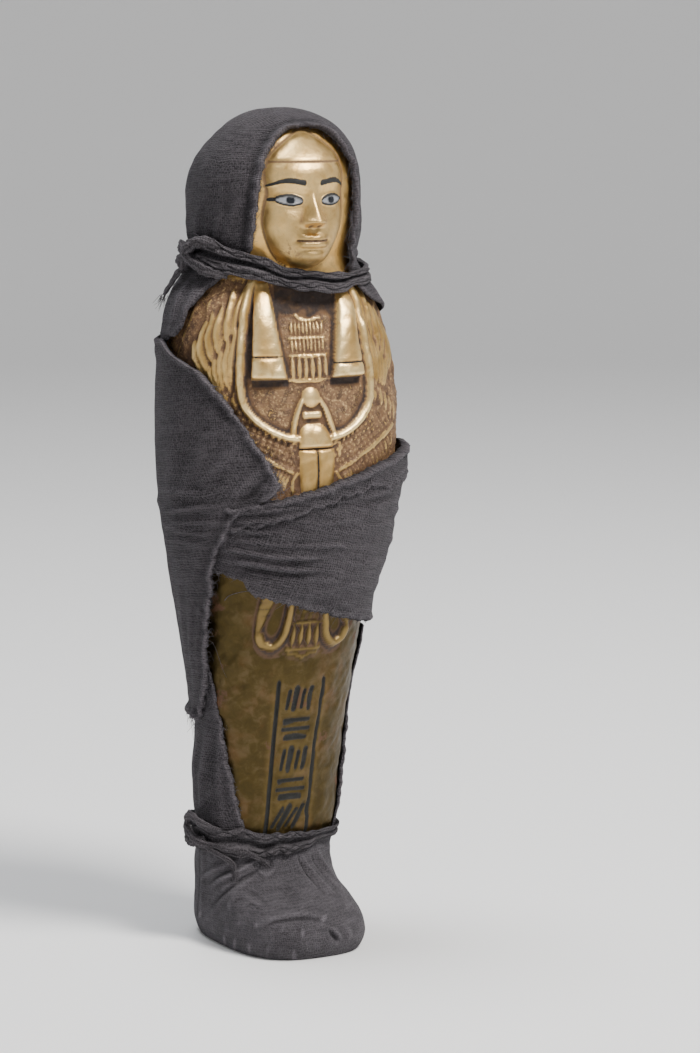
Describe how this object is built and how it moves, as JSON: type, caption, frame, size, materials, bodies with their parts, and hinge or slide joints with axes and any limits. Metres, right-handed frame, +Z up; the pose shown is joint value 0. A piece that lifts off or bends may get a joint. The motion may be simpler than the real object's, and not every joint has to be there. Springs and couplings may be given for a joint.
{
  "type": "ushabti figurine",
  "caption": "Carved and gilded wooden mummiform figurine with a winged scarab on its chest, standing upright, wrapped and tied in dark linen with its face and front bare.",
  "frame": {"origin": "on the flat underside of the foot bag, under the figure's upright axis", "axes": "+Z up from the feet to the crown, the face looks along -Y, the figure's left side is at +X"},
  "size_m": [0.076, 0.0621, 0.2478],
  "materials": {
    "gilded_wood": "worn gold leaf over carved wood, brown where it is rubbed through and in the recesses",
    "dark_linen": "coarse dark grey-brown linen, frayed at its edges",
    "tie_linen": "strips of the same linen, gathered and knotted"
  },
  "bodies": {
    "root": {"figure": "gilded_wood", "hood": "dark_linen", "neck_tie": "tie_linen", "waist_band": "dark_linen", "shroud": "dark_linen", "leg_cloth": "dark_linen", "ankle_tie": "tie_linen", "foot_bag": "dark_linen"}
  },
  "joints": []
}
